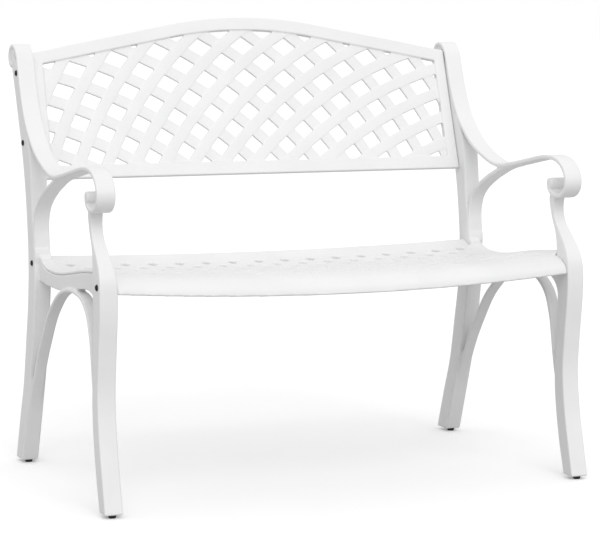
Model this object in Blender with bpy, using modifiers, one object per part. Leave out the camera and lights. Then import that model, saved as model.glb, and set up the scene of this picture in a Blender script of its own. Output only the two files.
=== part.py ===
"""Two-seat garden bench: two cast side frames, a lattice back panel and a lattice seat, bolted together.

Metres, +Z up. X runs along the bench, the seat faces -Y, and the origin is on the floor under its middle.
Side profiles are drawn in the Y-Z plane and given their width along X.
"""
import math

import bmesh
import bpy
from mathutils import Matrix, Vector

# ---- driving dimensions (metres) -----------------------------------------------------------------------
# Profiles are drawn from a datum of their own and moved by SHIFT_Y, which centres the bench on the origin.
SHIFT_Y = -0.0248
GAP = 0.0003
FRAME_X = 0.4913
EDGE = 0.0020
CURVE_STEPS = 2
MERGE = 0.00001

# Side frames: half widths are along X.
STRIP_HALF = 0.0187
STRIP_THICKNESS = 0.0085
LEG_HALF = 0.0180
NECK_HALF = 0.0122
NECK_TOP = 0.5250
NECK_BOTTOM = 0.4150
POST_HALF = 0.0175
BRACE_HALF = 0.0160
BRACE_THICKNESS = 0.0085
ARCH_HALF = 0.0120
ARCH_THICKNESS = 0.0075
PAD_INSET = 0.0010
RAIL_INNER = 0.4739
RAIL_OUTER = 0.4980
ROLL_CENTRE = (0.3350, 0.8505)
ROLL_RADIUS = 0.0190
ROLL_INSET = 0.0020
BEAD_CENTRE = (-0.1990, 0.5945)
BEAD_RADIUS = 0.0110
FOOT_Z = 0.0065

# Back panel: PANEL_BOTTOM is the (y, z) of its front lower edge.
PANEL_HALF = 0.4731
PANEL_THICKNESS = 0.0140
PANEL_LEAN = math.atan(0.343)
PANEL_BOTTOM = (0.2185, 0.6010)
PANEL_STILE = 0.0226
OPENING_SHIFT = -0.0015
LATTICE_SHIFT = -0.0025
BACK_BOLT_DEPTH = 0.0062
PANEL_RAIL = 0.0275
PANEL_CROWN = 0.3490
CROWN_RADIUS = 0.8600
CROWN_REACH = 0.1670
WEB_FRONT = 0.0045
WEB_BACK = 0.0110
RIB_FRONT = 0.0035
WEB_REACH = 0.0020
RIB_REACH = 0.0016
OPENING_REACH = 0.0005
CROWN_STEPS = 12
LATTICE_WIDTH = 0.0245
RIB_WIDTH = 0.0237
LATTICE_FIRST = -9
LATTICE_LAST = 7
SMALLEST_HOLE = 0.00005

# Seat: it bows forward and hangs lower in the middle than at its ends.
SEAT_HALF = 0.4734
SEAT_THICKNESS = 0.0060
SEAT_BOW = 0.0300
SEAT_DIP_REAR = 0.0090
SEAT_DIP_FRONT = 0.0148
SEAT_PITCH = 0.0587
SEAT_STRIP = 0.0245
SEAT_COLUMNS = 6
SEAT_BORDER = 0.0105
SEAT_REAR_BORDER = 0.0345
SEAT_WINDOW_FRONT = -0.2150
SEAT_RIB = 0.0090
SEAT_RIB_INSET = 0.0006
SEAT_WINDOW_STEPS = 8
SEAT_CUT_LOW = 0.3000
SEAT_CUT_HIGH = 0.6000
BOSS_RADIUS = 0.0085
BOSS_SPARE = 0.0040

# Fasteners and feet
SHANK_RADIUS = 0.0030
HOLE_RADIUS = 0.0033
HEAD_RADIUS = 0.0050
HEAD_HEIGHT = 0.0018
HEAD_TAPER = 0.86
SHANK_OVERLAP = 0.0010
SOCKET_RADIUS = 0.0022
SOCKET_DEPTH = 0.0012
WASHER_RADIUS = 0.0063
WASHER_THICKNESS = 0.0007
BOLT_REACH = 0.0160
HOLE_SPARE = 0.0020
DRILL_REACH = 0.0300
CUT_SPARE = 0.0100
GLIDE_Y = 0.2940
GLIDE_TOP = 0.0080
GLIDE_BOTTOM = 0.0069
STEM_RADIUS = 0.0028
STEM_LENGTH = 0.0140

# Profiles as (y, z) points, to half a millimetre, on the smooth outlines of the castings.
ARM_FACE = [
    (0.3400, 0.8260), (0.3545, 0.8335), (0.3600, 0.8480), (0.3560, 0.8635), (0.3435, 0.8730),
    (0.3260, 0.8755), (0.3090, 0.8690), (0.2945, 0.8530), (0.2850, 0.8290), (0.2680, 0.7830),
    (0.2430, 0.7350), (0.2100, 0.6965), (0.1640, 0.6620), (0.1060, 0.6370), (0.0400, 0.6215),
    (-0.0300, 0.6285), (-0.1000, 0.6400), (-0.1700, 0.6505), (-0.2200, 0.6490), (-0.2520, 0.6350),
    (-0.2690, 0.6120), (-0.2695, 0.5910), (-0.2560, 0.5745), (-0.2330, 0.5665), (-0.2090, 0.5690),
    (-0.1925, 0.5800), (-0.1880, 0.5940),
]
POST_REAR = [
    (0.3290, FOOT_Z), (0.2970, 0.0925), (0.2660, 0.1720), (0.2440, 0.2650), (0.2265, 0.3450),
    (0.2200, 0.4300), (0.2265, 0.5050), (0.2400, 0.5800), (0.2600, 0.6500), (0.2880, 0.7190),
    (0.3160, 0.7850), (0.3400, 0.8350),
]
POST_FRONT = [
    (0.3180, 0.8500), (0.2940, 0.8200), (0.2760, 0.7830), (0.2500, 0.7350), (0.2200, 0.6890),
    (0.2030, 0.6500), (0.1950, 0.6000), (0.1900, 0.5500), (0.1815, 0.5050), (0.1735, 0.4500),
    (0.1710, 0.3900), (0.1790, 0.3360), (0.1960, 0.2520), (0.2235, 0.1660), (0.2550, 0.0780),
    (0.2815, FOOT_Z),
]
LEG_REAR = [
    (-0.1950, 0.5790), (-0.1885, 0.5620), (-0.1960, 0.5340), (-0.2045, 0.5160), (-0.2165, 0.4960),
    (-0.2260, 0.4700), (-0.2320, 0.4350), (-0.2375, 0.3850), (-0.2375, 0.3250), (-0.2310, 0.2550),
    (-0.2280, 0.2000), (-0.2340, 0.1420), (-0.2500, 0.0700), (-0.2700, FOOT_Z),
]
LEG_FRONT = [
    (-0.3075, FOOT_Z), (-0.2895, 0.0730), (-0.2725, 0.1445), (-0.2645, 0.2180), (-0.2715, 0.2945),
    (-0.2805, 0.3600), (-0.2830, 0.4050), (-0.2790, 0.4430), (-0.2630, 0.4700), (-0.2390, 0.4950),
    (-0.2200, 0.5140), (-0.2105, 0.5320), (-0.2085, 0.5490), (-0.2130, 0.5700),
]
ARCH_INNER = [
    (-0.2450, 0.1200), (-0.2300, 0.1650), (-0.2150, 0.2080), (-0.2050, 0.2500), (-0.1980, 0.2885),
    (-0.1890, 0.3250), (-0.1700, 0.3640), (-0.1360, 0.3890), (-0.0960, 0.3970), (-0.0550, 0.3980),
    (-0.0150, 0.3920), (0.0250, 0.3790), (0.0640, 0.3560), (0.1050, 0.3230), (0.1450, 0.2750),
    (0.1790, 0.2295), (0.2060, 0.1845), (0.2310, 0.1380), (0.2530, 0.0900),
]
FOOT_PAD = [
    (0.1900, 0.4620), (0.1712, 0.4620), (0.1695, 0.4540), (0.1690, 0.4440), (0.1730, 0.4280), (0.1900, 0.4240),
]
RAIL_TOP = [
    (0.2000, 0.4560), (0.1725, 0.4530), (0.1655, 0.4455), (0.1540, 0.4385), (0.1390, 0.4330),
    (0.1200, 0.4290), (0.0850, 0.4275), (0.0500, 0.4280), (0.0000, 0.4325), (-0.0600, 0.4410),
    (-0.1170, 0.4490), (-0.1700, 0.4545), (-0.2150, 0.4570), (-0.2550, 0.4550),
]
RAIL_BOTTOM = [
    (-0.2550, 0.3400), (-0.2385, 0.3700), (-0.2280, 0.3900), (-0.2090, 0.4030), (-0.1830, 0.4115),
    (-0.1435, 0.4130), (-0.0900, 0.4070), (-0.0485, 0.4010), (0.0075, 0.3930), (0.0645, 0.3910),
    (0.1305, 0.3930), (0.1980, 0.3980),
]
BRACE_LINE = [
    (0.1765, 0.4580), (0.1780, 0.4800), (0.1795, 0.5000), (0.1760, 0.5220), (0.1660, 0.5420),
    (0.1500, 0.5570), (0.1300, 0.5695), (0.1080, 0.5805), (0.0850, 0.5905), (0.0600, 0.5995),
    (0.0350, 0.6085), (0.0050, 0.6165), (-0.0300, 0.6230),
]
SEAT_TOP = [
    (0.1960, 0.4450), (0.1660, 0.4345), (0.1250, 0.4270), (0.0850, 0.4250), (0.0350, 0.4265),
    (-0.0350, 0.4340), (-0.1050, 0.4440), (-0.1650, 0.4500), (-0.2150, 0.4510), (-0.2450, 0.4475),
    (-0.2640, 0.4400), (-0.2760, 0.4300), (-0.2805, 0.4175),
]
SEAT_RIB_BOTTOM = [
    (-0.2775, 0.4190), (-0.2600, 0.4180), (-0.2300, 0.4240), (-0.1500, 0.4250), (-0.0500, 0.4130),
    (0.0450, 0.4030), (0.1200, 0.4040), (0.1930, 0.4180),
]

BACK_BOLTS = {"upper": 0.8160, "lower": 0.6738}
SEAT_BOLTS = {"rear": (0.1888, 0.4310), "front": (-0.2655, 0.4300)}


# ---- scene and materials -------------------------------------------------------------------------------
def clear_scene():
    for item in list(bpy.data.objects):
        bpy.data.objects.remove(item, do_unlink=True)


def new_collection(name):
    group = bpy.data.collections.new(name)
    bpy.context.scene.collection.children.link(group)
    return group


def paint(name, colour, roughness, metallic):
    material = bpy.data.materials.new(name)
    material.use_nodes = True
    shader = material.node_tree.nodes["Principled BSDF"]
    shader.inputs["Base Color"].default_value = (*colour, 1.0)
    shader.inputs["Roughness"].default_value = roughness
    shader.inputs["Metallic"].default_value = metallic
    return material


# ---- curves and outlines -------------------------------------------------------------------------------
def smooth(knots, steps=CURVE_STEPS):
    """Points on a Catmull-Rom curve through the knots."""
    ends = [Vector(knots[0]) * 2 - Vector(knots[1]), Vector(knots[-1]) * 2 - Vector(knots[-2])]
    chain = [ends[0]] + [Vector(knot) for knot in knots] + [ends[1]]
    points = []
    for index in range(1, len(chain) - 2):
        before, start, end, after = chain[index - 1:index + 3]
        for step in range(steps):
            t = step / steps
            points.append(
                start
                + (end - before) * (t * 0.5)
                + (before * 2 - start * 5 + end * 4 - after) * (t * t * 0.5)
                + (start * 3 - before - end * 3 + after) * (t ** 3 * 0.5)
            )
    points.append(chain[-2])
    return points


def offset(points, distance):
    """The line moved sideways, to the left of its direction for a positive distance."""
    moved = []
    for index, point in enumerate(points):
        before = points[max(index - 1, 0)]
        after = points[min(index + 1, len(points) - 1)]
        along = (after - before).normalized()
        moved.append(point + Vector((-along.y, along.x)) * distance)
    return moved


def band(points, left, right):
    """A closed outline around a line, from one side of it to the other."""
    return offset(points, left) + offset(points, -right)[::-1]


def clip(outline, window):
    """The part of an outline inside a convex, counter-clockwise window."""
    result = list(outline)
    for index, start in enumerate(window):
        end = window[(index + 1) % len(window)]
        edge = end - start
        source = result
        result = []
        for place, point in enumerate(source):
            previous = source[place - 1]
            side = edge.cross(point - start)
            side_before = edge.cross(previous - start)
            if side * side_before < 0:
                share = side_before / (side_before - side)
                result.append(previous.lerp(point, share))
            if side >= 0:
                result.append(point)
    return result


def area(outline):
    return abs(sum(outline[i - 1].cross(outline[i]) for i in range(len(outline)))) / 2


# ---- solids --------------------------------------------------------------------------------------------
SIDE_VIEW = Matrix(((0, 0, 1, 0), (1, 0, 0, 0), (0, 1, 0, 0), (0, 0, 0, 1)))


def plate(name, outlines, low, high, placing, edge=0.0):
    """Flat outlines made solid between two heights of their own frame, with eased edges."""
    data = bpy.data.curves.new(name, "CURVE")
    data.dimensions = "2D"
    data.fill_mode = "BOTH"
    data.extrude = (high - low) / 2 - edge
    data.bevel_depth = edge
    data.bevel_resolution = 0
    data.offset = -edge
    for outline in outlines:
        spline = data.splines.new("POLY")
        spline.points.add(len(outline) - 1)
        for point, place in zip(spline.points, outline):
            point.co = (place[0], place[1], 0.0, 1.0)
        spline.use_cyclic_u = True
    drawn = bpy.data.objects.new(name + "_outline", data)
    CUTTERS.objects.link(drawn)
    bpy.context.view_layer.update()
    mesh = bpy.data.meshes.new_from_object(drawn.evaluated_get(bpy.context.evaluated_depsgraph_get()))
    bpy.data.objects.remove(drawn, do_unlink=True)
    shape = bmesh.new()
    shape.from_mesh(mesh)
    bmesh.ops.remove_doubles(shape, verts=shape.verts, dist=MERGE)
    bmesh.ops.translate(shape, verts=shape.verts, vec=(0, 0, (low + high) / 2))
    bmesh.ops.transform(shape, matrix=placing, verts=shape.verts)
    bmesh.ops.recalc_face_normals(shape, faces=shape.faces)
    shape.to_mesh(mesh)
    shape.free()
    return hidden(name, mesh)


def hidden(name, mesh):
    body = bpy.data.objects.new(name, mesh)
    CUTTERS.objects.link(body)
    body.hide_render = True
    body.display_type = "WIRE"
    return body


def rod(name, radius, start, end, sides=16, end_radius=None):
    """A round bar or cone between two points."""
    axis = Vector(end) - Vector(start)
    shape = bmesh.new()
    bmesh.ops.create_cone(
        shape,
        cap_ends=True,
        segments=sides,
        radius1=radius,
        radius2=radius if end_radius is None else end_radius,
        depth=axis.length,
    )
    turn = axis.to_track_quat("Z", "Y").to_matrix().to_4x4()
    middle = (Vector(start) + Vector(end)) / 2
    bmesh.ops.transform(shape, matrix=Matrix.Translation(middle) @ turn, verts=shape.verts)
    mesh = bpy.data.meshes.new(name)
    shape.to_mesh(mesh)
    shape.free()
    return hidden(name, mesh)


def combine(body, operand, operation):
    """One Boolean applied to the body's own mesh."""
    modifier = body.modifiers.new(operation.lower(), "BOOLEAN")
    modifier.operation = operation
    modifier.solver = "EXACT"
    modifier.object = operand
    bpy.context.view_layer.update()
    mesh = bpy.data.meshes.new_from_object(body.evaluated_get(bpy.context.evaluated_depsgraph_get()))
    body.modifiers.clear()
    body.data = mesh
    shape = bmesh.new()
    shape.from_mesh(mesh)
    bmesh.ops.remove_doubles(shape, verts=shape.verts, dist=MERGE)
    bmesh.ops.dissolve_degenerate(shape, edges=shape.edges, dist=MERGE)
    shape.to_mesh(mesh)
    shape.free()
    bpy.data.objects.remove(operand, do_unlink=True)


def finish(body, name, material, smooth_angle=35):
    """The finished sub-part: named, painted, and shifted into the bench's own frame."""
    mesh = body.data
    mesh.transform(Matrix.Translation((0, SHIFT_Y, 0)))
    mesh.materials.clear()
    mesh.materials.append(material)
    for face in mesh.polygons:
        face.material_index = 0
    mesh.shade_smooth()
    mesh.set_sharp_from_angle(angle=math.radians(smooth_angle))
    body.name = name
    mesh.name = name
    CUTTERS.objects.unlink(body)
    PARTS.objects.link(body)
    body.hide_render = False
    body.display_type = "TEXTURED"
    return body


# ---- bolts ---------------------------------------------------------------------------------------------
def back_bolt_place(height):
    """Where a back bolt runs: inside the panel's thickness, at the given height."""
    return PANEL_BOTTOM[0] + (height - PANEL_BOTTOM[1]) * math.tan(PANEL_LEAN) + BACK_BOLT_DEPTH, height


def bolt_places():
    places = {}
    for name, height in BACK_BOLTS.items():
        places[name + "_back"] = (back_bolt_place(height), POST_HALF)
    places["rear_seat"] = (SEAT_BOLTS["rear"], POST_HALF)
    places["front_seat"] = (SEAT_BOLTS["front"], LEG_HALF)
    return places


def drill(body, place, start, end):
    y, z = place
    combine(body, rod("drill", HOLE_RADIUS, (start, y, z), (end, y, z)), "DIFFERENCE")


# ---- side frames ---------------------------------------------------------------------------------------
def leg_width(z):
    """Share of the full leg width: the neck is slim under the scroll and swells to the seat."""
    t = min(max((NECK_TOP - z) / (NECK_TOP - NECK_BOTTOM), 0.0), 1.0)
    blend = t * t * (3 - 2 * t)
    return (NECK_HALF + (LEG_HALF - NECK_HALF) * blend) / LEG_HALF


def side_frame(name, side):
    centre = FRAME_X * side

    def across(label, outline, half, edge=EDGE):
        return plate(label, [outline], centre - half, centre + half, SIDE_VIEW, edge)

    post = across("post", smooth(POST_REAR) + smooth(POST_FRONT), POST_HALF)
    leg = across("leg", smooth(LEG_REAR) + smooth(LEG_FRONT), LEG_HALF)
    for vertex in leg.data.vertices:
        vertex.co.x = centre + (vertex.co.x - centre) * leg_width(vertex.co.z)
    arm = across("arm", band(smooth(ARM_FACE), STRIP_THICKNESS, 0.0), STRIP_HALF)
    half_brace = BRACE_THICKNESS / 2
    brace = across("brace", band(smooth(BRACE_LINE), half_brace, half_brace), BRACE_HALF, 0.0)
    pad = across("pad", FOOT_PAD, POST_HALF - PAD_INSET, 0.0)
    arch = across("arch", band(smooth(ARCH_INNER), ARCH_THICKNESS, 0.0), ARCH_HALF, 0.0)
    rail = plate(
        "rail",
        [smooth(RAIL_TOP) + smooth(RAIL_BOTTOM)],
        min(side * RAIL_INNER, side * RAIL_OUTER),
        max(side * RAIL_INNER, side * RAIL_OUTER),
        SIDE_VIEW,
    )
    inset = STRIP_HALF - ROLL_INSET
    roll = rod(
        "roll",
        ROLL_RADIUS,
        (centre - inset, *ROLL_CENTRE),
        (centre + inset, *ROLL_CENTRE),
        sides=24,
    )
    bead = rod(
        "bead",
        BEAD_RADIUS,
        (centre - STRIP_HALF + EDGE, *BEAD_CENTRE),
        (centre + STRIP_HALF - EDGE, *BEAD_CENTRE),
        sides=20,
    )
    places = bolt_places()
    for spot in ("upper_back", "lower_back"):
        drill(post, places[spot][0], centre - DRILL_REACH, centre + DRILL_REACH)
    for piece in (arm, leg, roll, bead, brace, pad, rail, arch):
        combine(post, piece, "UNION")
    for spot in ("rear_seat", "front_seat"):
        drill(post, places[spot][0], centre - DRILL_REACH, centre + DRILL_REACH)
    for foot_y in (-GLIDE_Y, GLIDE_Y):
        start = (centre, foot_y, -FOOT_Z)
        end = (centre, foot_y, FOOT_Z + STEM_LENGTH + GAP)
        combine(post, rod("stem_hole", STEM_RADIUS + GAP, start, end, sides=12), "DIFFERENCE")
    return finish(post, name, PAINT)


# ---- back panel ----------------------------------------------------------------------------------------
def crown(inset, half, steps=CROWN_STEPS):
    """The top edge from +x to -x: an arc in the middle, straight tangents down to the sides."""
    radius = CROWN_RADIUS - inset
    middle = PANEL_CROWN - CROWN_RADIUS
    turn = math.asin(CROWN_REACH / CROWN_RADIUS)
    arc = []
    for step in range(steps + 1):
        angle = turn - 2 * turn * step / steps
        arc.append(Vector((radius * math.sin(angle), middle + radius * math.cos(angle))))
    drop = (half - arc[0].x) * math.tan(turn)
    return [Vector((half, arc[0].y - drop))] + arc + [Vector((-half, arc[-1].y - drop))]


def lattice_circle(index):
    """Centre and radius of one arched lattice bar that rises to the right."""
    x = 0.6503 + 0.0337 * index - 0.00166 * index ** 2
    y = -0.5896 - 0.0523 * index - 0.00019 * index ** 2
    radius = 0.9494 + 0.0065 * index - 0.00040 * index ** 2
    return Vector((x, y)), radius


def crossing(rising, falling, rising_side, falling_side):
    """Where the edge of a rising bar meets the edge of a falling one, which mirrors the rising bars."""
    first, first_radius = lattice_circle(rising)
    second, second_radius = lattice_circle(falling)
    second = Vector((-second.x, second.y))
    first_radius += rising_side * LATTICE_WIDTH / 2
    second_radius += falling_side * LATTICE_WIDTH / 2
    gap = second - first
    along = (first_radius ** 2 - second_radius ** 2 + gap.length_squared) / (2 * gap.length)
    height = math.sqrt(first_radius ** 2 - along ** 2)
    unit = gap.normalized()
    up = Vector((unit.y, -unit.x))
    if up.y < 0:
        up = -up
    return first + unit * along + up * height + Vector((LATTICE_SHIFT, 0))


def lattice_openings(window):
    openings = []
    for rising in range(LATTICE_FIRST, LATTICE_LAST):
        for falling in range(LATTICE_FIRST, LATTICE_LAST):
            cell = [
                crossing(rising, falling, -1, -1),
                crossing(rising + 1, falling, 1, -1),
                crossing(rising + 1, falling + 1, 1, 1),
                crossing(rising, falling + 1, -1, 1),
            ]
            opening = clip(cell, window)
            if len(opening) > 2 and area(opening) > SMALLEST_HOLE:
                openings.append(opening)
    return openings


def lattice_ribs(window):
    """The rising bars alone, drawn through the same corners as the openings but slightly slimmer."""
    ribs = []
    share = RIB_WIDTH / LATTICE_WIDTH
    for rising in range(LATTICE_FIRST, LATTICE_LAST + 1):
        edges = []
        for side in (share, -share):
            line = []
            for falling in range(LATTICE_FIRST, LATTICE_LAST + 1):
                line.append(crossing(rising, falling, side, 1))
                line.append(crossing(rising, falling, side, -1))
            edges.append(line)
        rib = clip(edges[0] + edges[1][::-1], window)
        if len(rib) > 3 and area(rib) > SMALLEST_HOLE:
            ribs.append(rib)
    return ribs


def panel_window(reach):
    """The opening inside the panel's frame, widened by the given reach."""
    inner = PANEL_HALF - PANEL_STILE + reach
    sill = [Vector((-inner, PANEL_RAIL - reach)), Vector((inner, PANEL_RAIL - reach))]
    shift = Vector((OPENING_SHIFT, 0))
    return [point + shift for point in sill + crown(PANEL_RAIL - reach, inner, CROWN_STEPS - 2)]


def back_panel():
    placing = Matrix.Translation((0, *PANEL_BOTTOM)) @ Matrix.Rotation(math.pi / 2 - PANEL_LEAN, 4, "X")
    foot = [Vector((-PANEL_HALF, 0)), Vector((PANEL_HALF, 0))]
    frame = [foot + crown(0.0, PANEL_HALF), panel_window(0.0)]
    panel = plate("panel", frame, -PANEL_THICKNESS, 0.0, placing, EDGE)
    web = [panel_window(WEB_REACH)] + lattice_openings(panel_window(OPENING_REACH))
    combine(panel, plate("web", web, -WEB_BACK, -WEB_FRONT, placing), "UNION")
    ribs = lattice_ribs(panel_window(RIB_REACH))
    combine(panel, plate("ribs", ribs, -WEB_FRONT - WEB_REACH, -RIB_FRONT, placing), "UNION")
    for height in BACK_BOLTS.values():
        for side in (-1, 1):
            hole_end = side * (PANEL_HALF - BOLT_REACH - HOLE_SPARE)
            drill(panel, back_bolt_place(height), hole_end, side * (PANEL_HALF + CUT_SPARE))
    return finish(panel, "back_panel", PAINT)


# ---- seat ----------------------------------------------------------------------------------------------
def seat_share(y):
    """0 at the rear edge of the seat, 1 at the front."""
    rear = SEAT_TOP[0][0]
    front = SEAT_TOP[-1][0]
    return (rear - y) / (rear - front)


def seat_point(x, y, z):
    """The end section moved to where it lies in the middle: bowed forward and hung lower."""
    share = seat_share(y)
    belly = 1 - (x / SEAT_HALF) ** 2
    dip = SEAT_DIP_REAR + (SEAT_DIP_FRONT - SEAT_DIP_REAR) * share
    return Vector((x, y - SEAT_BOW * share ** 2 * belly, z - dip * belly))


def seat_window():
    inner = SEAT_HALF - SEAT_BORDER
    rear = SEAT_TOP[0][0] - SEAT_REAR_BORDER
    window = [Vector((inner, rear)), Vector((-inner, rear))]
    for step in range(SEAT_WINDOW_STEPS + 1):
        x = -inner + 2 * inner * step / SEAT_WINDOW_STEPS
        window.append(seat_point(x, SEAT_WINDOW_FRONT, 0.0).xy)
    return window


def seat_openings():
    window = seat_window()
    half = SEAT_PITCH / 2 - SEAT_STRIP / math.sqrt(2)
    reach = math.ceil(2 * SEAT_HALF / SEAT_PITCH)
    openings = []
    for column in range(-reach, reach + 1):
        for row in range(-reach, reach + 1):
            if (column + row) % 2:
                continue
            middle = Vector((column, row)) * SEAT_PITCH / 2
            square = [
                middle + Vector((half, 0)),
                middle + Vector((0, half)),
                middle - Vector((half, 0)),
                middle - Vector((0, half)),
            ]
            opening = clip(square, window)
            if len(opening) > 2 and area(opening) > SMALLEST_HOLE:
                openings.append(opening)
    return openings


def seat_panel():
    section = smooth(SEAT_TOP, 1)
    bpy.ops.mesh.primitive_grid_add(x_subdivisions=SEAT_COLUMNS, y_subdivisions=len(section) - 1, size=2)
    seat = bpy.context.object
    seat.name = "seat"
    for group in list(seat.users_collection):
        group.objects.unlink(seat)
    CUTTERS.objects.link(seat)
    for vertex in seat.data.vertices:
        row = round((1 - vertex.co.y) / 2 * (len(section) - 1))
        y, z = section[row]
        vertex.co = seat_point(vertex.co.x * SEAT_HALF, y, z)
    shell = seat.modifiers.new("thickness", "SOLIDIFY")
    shell.thickness = SEAT_THICKNESS
    shell.offset = -1
    shell.use_even_offset = True
    mesh = bpy.data.meshes.new_from_object(seat.evaluated_get(bpy.context.evaluated_depsgraph_get()))
    seat.modifiers.clear()
    seat.data = mesh
    rib_top = offset([Vector(knot) for knot in SEAT_TOP], SEAT_THICKNESS / 2)
    for side in (-1, 1):
        low = min(side * (SEAT_HALF - SEAT_RIB_INSET), side * (SEAT_HALF - SEAT_RIB_INSET - SEAT_RIB))
        rib = plate("seat_rib", [rib_top + smooth(SEAT_RIB_BOTTOM, 1)], low, low + SEAT_RIB, SIDE_VIEW)
        combine(seat, rib, "UNION")
        for place in SEAT_BOLTS.values():
            start = (side * (SEAT_HALF - SEAT_RIB / 2), *place)
            end = (side * (SEAT_HALF - BOLT_REACH - BOSS_SPARE), *place)
            combine(seat, rod("boss", BOSS_RADIUS, start, end), "UNION")
            hole_end = side * (SEAT_HALF - BOLT_REACH - HOLE_SPARE)
            drill(seat, place, hole_end, side * (SEAT_HALF + CUT_SPARE))
    cutter = plate("seat_openings", seat_openings(), SEAT_CUT_LOW, SEAT_CUT_HIGH, Matrix.Identity(4))
    combine(seat, cutter, "DIFFERENCE")
    return finish(seat, "seat_panel", PAINT)


# ---- fasteners and feet --------------------------------------------------------------------------------
def bolt(name, side, place, half):
    y, z = place
    face = FRAME_X * side + side * (half + GAP)
    seat = face + side * (WASHER_THICKNESS + GAP)
    top = seat + side * HEAD_HEIGHT
    shank_end = side * (SEAT_HALF - BOLT_REACH)
    shank_top = seat + side * SHANK_OVERLAP
    socket_floor = top - side * SOCKET_DEPTH
    head = rod("head", HEAD_RADIUS, (seat, y, z), (top, y, z), end_radius=HEAD_RADIUS * HEAD_TAPER)
    combine(head, rod("shank", SHANK_RADIUS, (shank_end, y, z), (shank_top, y, z), sides=10), "UNION")
    socket = rod("socket", SOCKET_RADIUS, (socket_floor, y, z), (top + side * CUT_SPARE, y, z), sides=6)
    combine(head, socket, "DIFFERENCE")
    return finish(head, name, BLACK_STEEL)


def washer(name, side, place, half):
    y, z = place
    face = FRAME_X * side + side * (half + GAP)
    outer = face + side * WASHER_THICKNESS
    ring = rod("ring", WASHER_RADIUS, (face, y, z), (outer, y, z))
    inside = face - side * CUT_SPARE
    bore = rod("bore", HOLE_RADIUS, (inside, y, z), (outer + side * CUT_SPARE, y, z), sides=12)
    combine(ring, bore, "DIFFERENCE")
    return finish(ring, name, BLACK_STEEL)


def glide(name, side, y):
    x = FRAME_X * side
    disc = rod("disc", GLIDE_BOTTOM, (x, y, 0), (x, y, FOOT_Z - GAP), sides=24, end_radius=GLIDE_TOP)
    stem = rod("stem", STEM_RADIUS, (x, y, FOOT_Z / 2), (x, y, FOOT_Z + STEM_LENGTH), sides=12)
    combine(disc, stem, "UNION")
    return finish(disc, name, BLACK_PLASTIC)


clear_scene()
PARTS = new_collection("garden_bench")
CUTTERS = new_collection("garden_bench_cutters")
PAINT = paint("white_powder_coat", (0.86, 0.86, 0.86), 0.42, 0.0)
BLACK_STEEL = paint("black_steel", (0.015, 0.015, 0.016), 0.45, 0.6)
BLACK_PLASTIC = paint("black_plastic", (0.012, 0.012, 0.012), 0.6, 0.0)

for label, direction in (("left", -1), ("right", 1)):
    side_frame(label + "_side_frame", direction)
    for spot, (location, half_width) in bolt_places().items():
        bolt(f"bolt_{label}_{spot}", direction, location, half_width)
        washer(f"washer_{label}_{spot}", direction, location, half_width)
    glide(f"glide_{label}_front", direction, -GLIDE_Y)
    glide(f"glide_{label}_rear", direction, GLIDE_Y)
back_panel()
seat_panel()
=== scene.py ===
"""Looks of the garden bench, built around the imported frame.

Each casting is drawn again at fine resolution from the bench's own profiles, as closed bodies that overlap,
and then melted into one skin, so that its edges and inner corners are eased as they are on cast metal.
"""

import math

import bmesh
import bpy
from mathutils import Matrix, Vector


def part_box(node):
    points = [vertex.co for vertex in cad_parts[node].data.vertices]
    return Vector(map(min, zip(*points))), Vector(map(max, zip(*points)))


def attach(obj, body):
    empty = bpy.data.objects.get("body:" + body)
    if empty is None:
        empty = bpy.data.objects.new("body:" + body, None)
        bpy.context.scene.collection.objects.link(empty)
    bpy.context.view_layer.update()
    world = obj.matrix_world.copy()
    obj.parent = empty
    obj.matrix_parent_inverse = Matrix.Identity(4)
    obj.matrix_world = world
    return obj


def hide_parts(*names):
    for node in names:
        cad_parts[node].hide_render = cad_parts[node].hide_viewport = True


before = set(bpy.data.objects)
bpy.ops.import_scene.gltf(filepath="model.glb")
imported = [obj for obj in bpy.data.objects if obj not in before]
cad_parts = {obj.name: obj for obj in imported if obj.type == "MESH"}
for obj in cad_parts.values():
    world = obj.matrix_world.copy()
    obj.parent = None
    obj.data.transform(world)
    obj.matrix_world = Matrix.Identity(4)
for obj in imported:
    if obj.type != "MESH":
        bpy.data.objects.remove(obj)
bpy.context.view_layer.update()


def centre_of(node):
    low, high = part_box(node)
    return (low + high) / 2


# ---- dimensions (metres) ---------------------------------------------------------------------------------
# FRAME_X, SHIFT_Y and FOOT_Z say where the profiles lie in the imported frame.
FRAME_X = centre_of("right_side_frame").x
SHIFT_Y = (centre_of("glide_right_front").y + centre_of("glide_right_rear").y) / 2
FOOT_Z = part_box("right_side_frame")[0].z
CURVE_STEPS = 8
EDGE_ROUNDING = 3
MERGE = 0.00001
CUT_SPARE = 0.0100

# Side frames: half widths are along X.
STRIP_HALF = 0.0187
STRIP_THICKNESS = 0.0085
LEG_HALF = 0.0180
NECK_HALF = 0.0122
NECK_TOP = 0.5250
NECK_BOTTOM = 0.4150
POST_HALF = 0.0175
BRACE_HALF = 0.0160
BRACE_THICKNESS = 0.0085
ARCH_HALF = 0.0120
ARCH_THICKNESS = 0.0075
PAD_INSET = 0.0010
RAIL_INNER = 0.4739
RAIL_OUTER = 0.4980
ROLL_CENTRE = (0.3350, 0.8505)
ROLL_RADIUS = 0.0190
ROLL_INSET = 0.0020
BEAD_CENTRE = (-0.1990, 0.5945)
BEAD_RADIUS = 0.0110
LEG_EDGE = 0.0024
STRIP_EDGE = 0.0018
THIN_EDGE = 0.0018
RAIL_EDGE = 0.0020
ROD_STEPS = 4

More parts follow.
